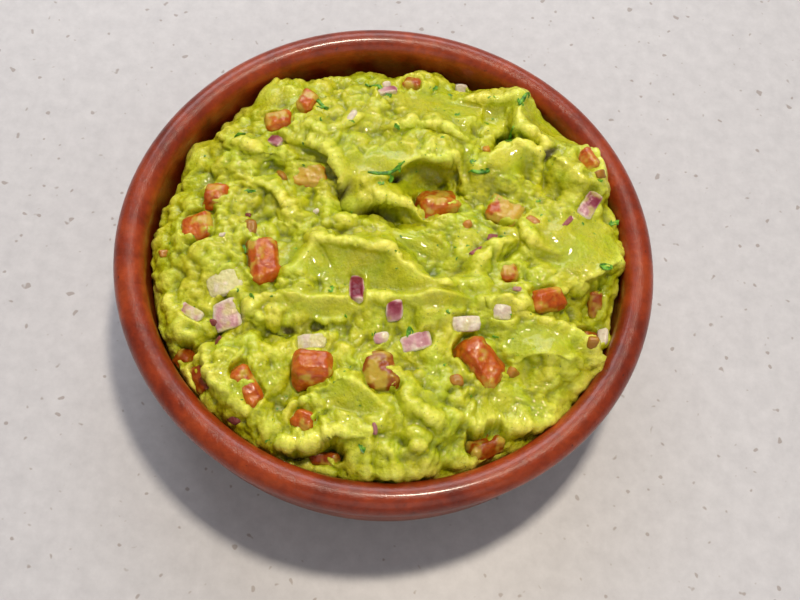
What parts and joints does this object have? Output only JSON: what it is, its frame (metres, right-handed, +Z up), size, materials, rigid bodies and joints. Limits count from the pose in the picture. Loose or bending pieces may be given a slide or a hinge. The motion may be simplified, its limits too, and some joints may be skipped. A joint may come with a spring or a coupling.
{
  "type": "guacamole in a terracotta bowl",
  "caption": "Chunky guacamole with diced tomato and red onion, heaped in a round glazed terracotta bowl with a rolled lip and a flat base; a dip served in its own dish",
  "frame": {"origin": "centre of the bowl's flat base, on the table plane", "axes": "+Z up along the bowl's axis; -Y is the front, towards the viewer; +X to the viewer's right"},
  "size_m": [0.1398, 0.1398, 0.0478],
  "materials": {
    "glazed_terracotta": "glazed reddish brown terracotta, unglazed low down outside",
    "guacamole": null,
    "tomato": null,
    "onion": null
  },
  "bodies": {
    "root": {"bowl": "glazed_terracotta", "guacamole": "guacamole", "onion_clear_back": "onion", "onion_dark_top_left": "onion", "onion_lilac_left": "onion", "onion_lilac_middle": "onion", "onion_magenta": "onion", "onion_pale_front": "onion", "onion_pale_left": "onion", "onion_pale_middle": "onion", "onion_purple_middle": "onion", "onion_purple_right": "onion", "onion_strip_back": "onion", "onion_strip_left": "onion", "onion_white_far_right": "onion", "onion_white_right": "onion", "tomato_big_cube": "tomato", "tomato_big_orange": "tomato", "tomato_dark_middle": "tomato", "tomato_far_edge": "tomato", "tomato_front_left": "tomato", "tomato_front_small": "tomato", "tomato_in_hollow": "tomato", "tomato_left_middle": "tomato", "tomato_left_small": "tomato", "tomato_left_smeared": "tomato", "tomato_pale_middle": "tomato", "tomato_right_red": "tomato", "tomato_right_smeared": "tomato", "tomato_rim_pink": "tomato", "tomato_top_left_a": "tomato", "tomato_top_left_b": "tomato", "tomato_under_web": "tomato", "tomato_wall_front": "tomato", "tomato_wall_left_a": "tomato", "tomato_wall_left_b": "tomato", "tomato_wall_lower_right": "tomato", "tomato_wall_right": "tomato", "tomato_wall_side_a": "tomato", "tomato_wall_side_b": "tomato"}
  },
  "joints": []
}
